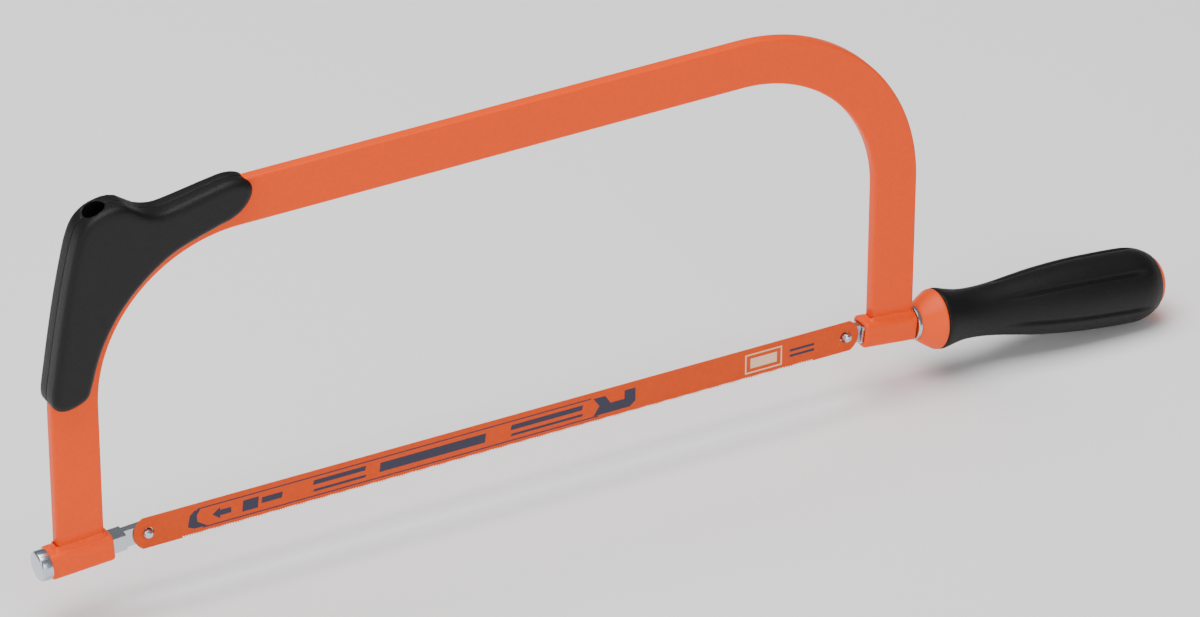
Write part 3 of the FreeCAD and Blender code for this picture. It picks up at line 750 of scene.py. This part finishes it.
class HACKSAW_OT_holders(bpy.types.Operator):
    """Finishes the square holders, their inclined pins and the threaded stud"""
    bl_idname = "hacksaw.holders"
    bl_label = "Holders and pins"

    def execute(self, context):
        for node in ("front_blade_holder", "rear_blade_holder"):
            dress(node, "zinc-plated steel", 0.25)
        for node in ("front_blade_pin", "rear_blade_pin"):
            dress(node, "zinc-plated steel", 0.15)
        pitch = context.scene.hacksaw_handle.thread_pitch / MM
        rings = int((THREAD_END - THREAD_START) / pitch * THREAD_STEPS)
        profile = [(STUD_START, 0.0), (STUD_START, ROOT_RADIUS), (THREAD_START, ROOT_RADIUS)]
        profile += [(THREAD_START + pitch * k / THREAD_STEPS, CREST_RADIUS) for k in range(rings)]
        profile += [(STUD_END - 0.4, 2.5), (STUD_END, 2.0), (STUD_END, 0.0)]

        def thread(along, reach, turn):
            if not THREAD_START <= along <= THREAD_END:
                return reach
            phase = (along / pitch - turn / (2 * math.pi)) % 1.0
            flank = abs(phase * 2 - 1)
            depth = THREAD_DEPTH * smoothstep(THREAD_START, THREAD_START + 2.0, along)
            return reach - depth * min(max(flank * 1.3 - 0.15, 0.0), 1.0)

        points, faces = lathe(profile, 32, thread)
        mesh_piece(
            "tension_stud_finished", points, faces, "zinc-plated steel", "rear_holder",
            ["tension_stud"], REAR_AXIS,
        )
        return {"FINISHED"}


# ---------------------------------------------------------------- handle
# Profiles of (along, radius) on the rear socket's axis. The core runs from its nose over the cone, under
# the rubber, out at the butt and back through the bore.
NOSE = ((32.9, 3.65), (32.9, 6.5), (33.05, 6.95), (33.4, 7.3))
CONE_START, CONE_RISE, CONE_LENGTH, CONE_BULGE, CONE_STEPS = (33.4, 7.3), 4.55, 7.4, 0.12, 8
COLLAR = ((41.3, 12.02), (41.9, 12.08), (42.2, 11.85))
CORE_UNDER = (
    (42.3, 9.4), (49.0, 8.3), (58.0, 7.3), (72.0, 8.3), (88.0, 10.7), (104.6, 12.1), (130.7, 12.65),
)
CORE_RIM = ((140.0, 10.9), (143.3, 10.75))
CORE_BUTT = (
    (144.4, 10.5), (145.5, 9.75), (146.4, 8.5), (146.9, 6.9), (147.1, 5.2), (147.1, 4.7), (146.8, 4.45),
)
CORE_BORE = ((141.0, 4.4), (141.0, 3.6), (52.0, 3.6), (40.0, 3.6))
RUBBER = (
    (42.25, 10.9), (42.4, 11.75), (43.0, 12.15), (44.6, 12.05), (48.5, 11.1), (53.0, 10.25), (58.0, 9.95),
    (64.0, 10.15), (71.0, 10.85), (80.0, 12.2), (90.0, 13.55), (104.6, 14.8), (118.0, 15.25),
    (130.0, 15.35), (135.0, 14.95), (138.5, 14.1), (141.0, 13.0), (142.6, 12.1), (143.4, 11.45),
    (143.6, 11.0),
)
RUBBER_RIM = ((143.3, 10.8), (140.0, 10.95))
PLUG = ((141.1, 0.0), (141.1, 4.1), (141.4, 4.38), (146.7, 4.38), (147.05, 4.1), (147.3, 2.5), (147.4, 0.0))
# Where the rubber's grooves fade in and out, how wide they are, and how far the first one is turned.
FADE_IN, FADE_OUT = (66.0, 84.0), (129.0, 138.5)
GROOVE_WIDTH = 0.95
FIRST_GROOVE = 14.0
# Only the rubber's outside is grooved. Its inside lies under the first radius at the neck, and under the
# second from the belly on.
NECK_INSIDE, BELLY_INSIDE, BELLY_FROM = 9.9, 12.9, 95.0
RIM_FROM = 143.0
# Between grooves the rubber is slightly crowned: how far it lies inside its plain radius on average, and
# how far it rises from the grooves to the middle.
LAND_DROP, LAND_RISE = 0.12, 0.14


class HACKSAW_OT_handle(bpy.types.Operator):
    """Turns the orange core and the grooved rubber, and finishes the washer, nut and plug"""
    bl_idname = "hacksaw.handle"
    bl_label = "Handle"

    def execute(self, context):
        s = context.scene.hacksaw_handle
        along, reach = CONE_START
        cone = []
        for k in range(1, CONE_STEPS + 1):
            share = k / CONE_STEPS
            bulge = CONE_BULGE * math.sin(math.pi * share)
            cone.append((along + CONE_LENGTH * share, reach + CONE_RISE * share + bulge))
        core = [*NOSE, *cone, *COLLAR, *smooth_path(CORE_UNDER, 6), *CORE_RIM, *CORE_BUTT, *CORE_BORE]
        self.turned("handle_core", core, 96, "orange polypropylene", "core_plastic")
        rubber = [*smooth_path(RUBBER, 8), *RUBBER_RIM, *reversed(smooth_path(CORE_UNDER, 4))]
        grooved = self.grooved(s.grooves, s.groove_depth / MM)
        weighted(self.turned("handle_grip", rubber, 288, "moulded elastomer", "grip_rubber", grooved))
        self.turned("end_plug", PLUG, 64, "orange polypropylene", "core_plastic")
        dress("thrust_washer", "zinc-plated steel", 0.2)
        dress("handle_nut", "zinc-plated steel", 0.3)
        return {"FINISHED"}

    def turned(self, node, profile, count, finish, slot, radius=None):
        """A turned piece of the handle that stands in for this CAD node."""
        points, faces = lathe(profile, count, radius)
        return mesh_piece(f"{node}_finished", points, faces, finish, "handle", [node], REAR_AXIS)

    def grooved(self, count, depth):
        """The radius of the rubber, with grooves that fade in behind the neck and out before the butt."""
        def radius(along, reach, turn):
            inside = reach < NECK_INSIDE or reach < BELLY_INSIDE and along > BELLY_FROM
            fade = smoothstep(*FADE_IN, along) * (1.0 - smoothstep(*FADE_OUT, along))
            if inside or along > RIM_FROM or fade == 0.0:
                return reach
            phase = (turn - math.radians(FIRST_GROOVE)) * count / (2 * math.pi)
            away = abs(phase - round(phase)) * 2 * math.pi / count * reach
            cut = depth * math.exp(-(away / GROOVE_WIDTH) ** 2)
            land = LAND_RISE * (away / (math.pi / count * reach) - 0.5)
            return reach - fade * (cut + LAND_DROP - land)
        return radius


# ---------------------------------------------------------------- blade
# The blade's visible face, the ends of its straight edges, and the radii of its ends and holes.
BLADE_FACE = -2.2
STRAIGHT = 152.3
END_RADIUS = 7.5
HOLE_RADIUS = 2.25
STRIP_HEIGHT = 1.6
TOOTH_DEPTH = 0.75
BLADE_BEVEL = 0.05
# Each end of the tooth strip is left plain for this far, and the set grows over the next few teeth.
PLAIN_END = 16.0
SET_BEFORE, SET_AFTER = 1.0, 6.0
# One tooth after its tip: (share of the pitch, height over the gullet).
TOOTH = ((0.12, 0.0), (0.34, 0.04), (0.67, -0.3))


# The printed marks, measured from the front hole. The ink stands this far out of the paint and into it.
INK_HEIGHT, INK_SINK = 0.012, 0.005
BLOCK_SLANT = 0.5
BLADE_FLASH = (
    (16.0, -2.6), (18.6, -3.9), (24.0, -3.9), (22.2, -2.7), (20.0, -1.2), (19.8, 1.6), (21.4, 3.9),
    (18.8, 3.9), (16.9, 2.0),
)
BLADE_ARROW = ((26.2, 0.0), (29.4, 2.5), (29.4, 1.2), (34.0, 1.2), (34.0, -1.2), (29.4, -1.2), (29.4, -2.5))
BLADE_TICK = (
    (188.0, -3.9), (204.0, -3.9), (206.4, -1.8), (206.4, 3.9), (201.6, 3.9), (201.6, 0.2), (195.4, 0.2),
    (193.2, 3.9), (188.0, 3.9), (190.6, 0.0),
)
# Blocks as (start, end, low, high).
BLADE_BLOCKS = (
    (38.5, 45.0, -2.4, 2.4), (46.4, 55.0, -1.0, 1.6), (68.0, 90.0, 0.6, 2.6), (68.0, 90.0, -2.4, -1.3),
    (96.0, 141.0, -1.9, 2.1), (152.0, 183.0, 0.3, 2.5), (152.0, 183.0, -2.4, -1.3),
)


def rectangle(start, end, low, high):
    """Corners of a printed bar."""
    return [(start, low), (end, low), (end, high), (start, high)]


class HACKSAW_OT_blade(bpy.types.Operator):
    """Cuts the blade with its holes, its wavy-set teeth and its printed marks"""
    bl_idname = "hacksaw.blade"
    bl_label = "Blade"

    def execute(self, context):
        s = context.scene.hacksaw_blade
        self.plate(s.width / MM, s.thickness / MM)
        self.teeth(s)
        self.marks()
        return {"FINISHED"}

    def plate(self, width, thick):
        """The back of the blade as a filled outline with two holes and lightly broken edges."""
        half, seam = width / 2, STRIP_HEIGHT - width / 2
        sweep = math.degrees(math.asin(half / END_RADIUS))
        centre = STRAIGHT - math.sqrt(END_RADIUS ** 2 - half ** 2)
        arc = [-sweep + 2 * sweep * k / 24 for k in range(25)]
        outline = [polar((centre, 0.0), END_RADIUS, turn) for turn in arc]
        outline += [polar((-centre, 0.0), END_RADIUS, 180.0 + turn) for turn in arc]
        outline += [(-STRAIGHT, seam), (STRAIGHT, seam)]
        loops = [outline]
        for x in (-HALF_SPAN, HALF_SPAN):
            loops.append([polar((x, 0.0), HOLE_RADIUS, 360 * k / 40) for k in range(40)])
        curve = bpy.data.curves.new("blade", "CURVE")
        curve.dimensions = "2D"
        curve.fill_mode = "BOTH"
        curve.extrude = (thick / 2 - BLADE_BEVEL) * MM
        curve.bevel_depth = BLADE_BEVEL * MM
        curve.bevel_resolution = 1
        curve.offset = -BLADE_BEVEL * MM
        for loop in loops:
            line = curve.splines.new("POLY")
            line.points.add(len(loop) - 1)
            for point, (x, z) in zip(line.points, loop):
                point.co = (x * MM, z * MM, 0.0, 1.0)
            line.use_cyclic_u = True
        drawn = bpy.data.objects.new("blade", curve)
        bpy.context.scene.collection.objects.link(drawn)
        bpy.context.view_layer.update()
        mesh = bpy.data.meshes.new_from_object(drawn.evaluated_get(bpy.context.evaluated_depsgraph_get()))
        bpy.data.objects.remove(drawn)
        middle = BLADE_FACE + thick / 2
        points = [(v.co.x / MM, middle - v.co.z / MM, v.co.y / MM) for v in mesh.vertices]
        faces = [tuple(p.vertices) for p in mesh.polygons]
        bpy.data.meshes.remove(mesh)
        weighted(mesh_piece(
            "blade_back_finished", points, faces, "painted blade steel", "blade",
            ["blade_back"],
        ))

    def teeth(self, s):
        """The tooth strip, whose tips swing from side to side in a wave."""
        width, thick, pitch = s.width / MM, s.thickness / MM, s.pitch / MM
        wave, swing_reach = s.wave / MM, s.set_reach / MM
        top, tip = STRIP_HEIGHT - width / 2, -width / 2
        gullet = tip + TOOTH_DEPTH
        run = STRAIGHT - PLAIN_END
        count = int(2 * run / pitch)
        edge = [(-STRAIGHT, tip), (-run - 0.5, tip)]
        for i in range(count):
            x = -run + i * pitch
            edge.append((x, tip))
            edge += [(x + share * pitch, gullet + rise) for share, rise in TOOTH]
        edge += [(-run + count * pitch, tip), (STRAIGHT, tip)]
        points = []
        for x, z in edge:
            start = smoothstep(-run - SET_BEFORE, -run + SET_AFTER, x)
            end = 1.0 - smoothstep(run - SET_AFTER, run + SET_BEFORE, x)
            swing = math.sin(2 * math.pi * x / wave) * swing_reach * start * end
            for level in (top, (top + gullet) / 2, z):
                share = min(max((top - level) / (top - tip), 0.0), 1.0) ** 1.5
                points.append((x, BLADE_FACE + swing * share, level))
                points.append((x, BLADE_FACE + thick + swing * share, level))
        # Each place along the edge has six points: near and far face at three levels, from the seam down.
        faces = []
        for i in range(len(edge) - 1):
            a, b = i * 6, (i + 1) * 6
            faces += [
                (a, b, b + 2, a + 2), (a + 2, b + 2, b + 4, a + 4), (a + 1, a + 3, b + 3, b + 1),
                (a + 3, a + 5, b + 5, b + 3), (a, a + 1, b + 1, b), (a + 4, b + 4, b + 5, a + 5),
            ]
        last = (len(edge) - 1) * 6
        faces += [
            (0, 2, 3, 1), (2, 4, 5, 3), (last, last + 1, last + 3, last + 2),
            (last + 2, last + 3, last + 5, last + 4),
        ]
        mesh_piece(
            "blade_teeth_finished", points, faces, "painted blade steel", "blade",
            ["blade_tooth_strip"], smooth=False,
        )

    def marks(self):
        """Plain printed marks: a cutting-direction arrow, framed panel, blocks and a blank pale label."""
        borders = [rectangle(22.0, 190.0, -4.5, -3.95), rectangle(20.0, 187.0, 3.95, 4.5)]
        dark = [BLADE_FLASH, BLADE_ARROW, *borders, BLADE_TICK]
        for start, end, low, high in BLADE_BLOCKS:
            dark.append([(start, low), (end, low), (end + BLOCK_SLANT, high), (start + BLOCK_SLANT, high)])
        dark += [rectangle(275.0, 286.0, low, low + 1.1) for low in (0.4, -2.0)]
        left, right, line, high = 255.0, 271.5, 0.6, 4.3
        pale = [
            rectangle(left, right, -high, line - high), rectangle(left, right, high - line, high),
            rectangle(left, left + line, line - high, high - line),
            rectangle(right - line, right, line - high, high - line),
            rectangle(257.4, 269.2, -2.2, 2.2),
        ]
        for name, shapes, ink in (
            ("blade_print_dark", dark, "dark screen ink"), ("blade_print_pale", pale, "pale screen ink"),
        ):
            points, faces = [], []
            for shape in shapes:
                base = len(points)
                count = len(shape)
                for level in (BLADE_FACE + INK_SINK, BLADE_FACE - INK_HEIGHT):
                    points += [(x - HALF_SPAN, level, z) for x, z in shape]
                faces.append(tuple(range(base, base + count)))
                faces.append(tuple(range(base + count, base + 2 * count)))
                for k in range(count):
                    n = (k + 1) % count
                    faces.append((base + k, base + n, base + count + n, base + count + k))
            mesh_piece(name, points, faces, ink, "blade", smooth=False)


# ---------------------------------------------------------------- stage
# The floor reaches this far each way, and lies just under the saw. Metres from here on.
FLOOR_REACH = 12.0
FLOOR_GAP = 0.0005
# The middle of the saw, which every light faces.
AIM = Vector((0.05, 0.0, 0.05))
# The camera: its turn round z, its lift over the floor and its roll in degrees, its place and its lens.
CAMERA_ANGLES = (-28.89, 30.11, 0.19)
CAMERA_PLACE = (-0.97456, -1.84214, 1.26188)
CAMERA_LENS = 191.95
CAMERA_SENSOR = 36.0


class HACKSAW_OT_stage(bpy.types.Operator):
    """Sets up the pale floor, the soft studio lights and the camera"""
    bl_idname = "hacksaw.stage"
    bl_label = "Studio"

    def execute(self, context):
        s = context.scene.hacksaw_stage
        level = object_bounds()[0][2] - FLOOR_GAP
        sides = ((-1, -1), (1, -1), (1, 1), (-1, 1))
        mesh = bpy.data.meshes.new("floor")
        mesh.from_pydata([(x * FLOOR_REACH, y * FLOOR_REACH, level) for x, y in sides], [], [(0, 1, 2, 3)])
        mesh.materials.append(backdrop_paper("matt backdrop paper", context.scene.hacksaw_finish.backdrop))
        floor = bpy.data.objects.new("floor", mesh)
        context.scene.collection.objects.link(floor)
        floor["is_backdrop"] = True
        for name, power, size, place in (
            ("key", s.key, 2.2, (-0.5, 0.1, 2.6)),
            ("fill", s.fill, 1.6, (-0.2, -2.6, 0.9)),
            ("side", s.fill * 0.5, 1.2, (-2.4, -0.6, 1.0)),
        ):
            light = bpy.data.lights.new(name, "AREA")
            light.energy = power
            light.shape = "SQUARE"
            light.size = size
            lamp = bpy.data.objects.new(name, light)
            lamp.location = place
            lamp.rotation_euler = (AIM - Vector(place)).to_track_quat("-Z", "Y").to_euler()
            context.scene.collection.objects.link(lamp)
            lamp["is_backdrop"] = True
        world = bpy.data.worlds.new("studio")
        world.use_nodes = True
        sky = world.node_tree.nodes["Background"].inputs
        sky["Color"].default_value = context.scene.hacksaw_finish.backdrop
        sky["Strength"].default_value = s.surround
        context.scene.world = world
        self.camera(context)
        return {"FINISHED"}

    def camera(self, context):
        """A long lens, looking down on the saw from the front grip's side."""
        turn, lift, roll = (math.radians(angle) for angle in CAMERA_ANGLES)
        back = Vector((math.sin(turn) * math.cos(lift), -math.cos(turn) * math.cos(lift), math.sin(lift)))
        level = Vector((math.cos(turn), math.sin(turn), 0.0))
        upright = back.cross(level)
        right = level * math.cos(roll) + upright * math.sin(roll)
        up = upright * math.cos(roll) - level * math.sin(roll)
        data = bpy.data.cameras.new("studio")
        data.sensor_width = CAMERA_SENSOR
        data.lens = CAMERA_LENS
        data.clip_start = 0.05
        data.clip_end = 60.0
        camera = bpy.data.objects.new("studio", data)
        rotation = Matrix((right, up, back)).transposed().to_4x4()
        camera.matrix_world = Matrix.Translation(CAMERA_PLACE) @ rotation
        context.scene.collection.objects.link(camera)
        context.scene.camera = camera
        camera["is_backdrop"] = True


# ---------------------------------------------------------------- panel
OPERATORS = (
    HACKSAW_OT_bow, HACKSAW_OT_sockets, HACKSAW_OT_front_grip, HACKSAW_OT_holders, HACKSAW_OT_handle,
    HACKSAW_OT_blade, HACKSAW_OT_stage,
)


class HACKSAW_PT_panel(bpy.types.Panel):
    """Lists the steps that build the hacksaw"""
    bl_label = "Hacksaw"
    bl_idname = "HACKSAW_PT_panel"
    bl_space_type = "VIEW_3D"
    bl_region_type = "UI"
    bl_category = "Hacksaw"

    def draw(self, context):
        for operator in OPERATORS:
            self.layout.operator(operator.bl_idname)


SETTINGS = {
    "hacksaw_bow": BowSettings,
    "hacksaw_grip": GripSettings,
    "hacksaw_handle": HandleSettings,
    "hacksaw_blade": BladeSettings,
    "hacksaw_finish": FinishSettings,
    "hacksaw_stage": StageSettings,
}


def register():
    for name, group in SETTINGS.items():
        bpy.utils.register_class(group)
        setattr(bpy.types.Scene, name, bpy.props.PointerProperty(type=group))
    for operator in OPERATORS:
        bpy.utils.register_class(operator)
    bpy.utils.register_class(HACKSAW_PT_panel)


def unregister():
    bpy.utils.unregister_class(HACKSAW_PT_panel)
    for operator in reversed(OPERATORS):
        bpy.utils.unregister_class(operator)
    for name, group in reversed(SETTINGS.items()):
        delattr(bpy.types.Scene, name)
        bpy.utils.unregister_class(group)


def corners():
    """The box of everything in the scene, as plain lists."""
    return [list(corner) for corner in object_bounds()]


def main():
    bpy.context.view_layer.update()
    register()
    for operator in OPERATORS:
        family, step = operator.bl_idname.split(".")
        getattr(getattr(bpy.ops, family), step)()


if __name__ == "__main__":
    main()
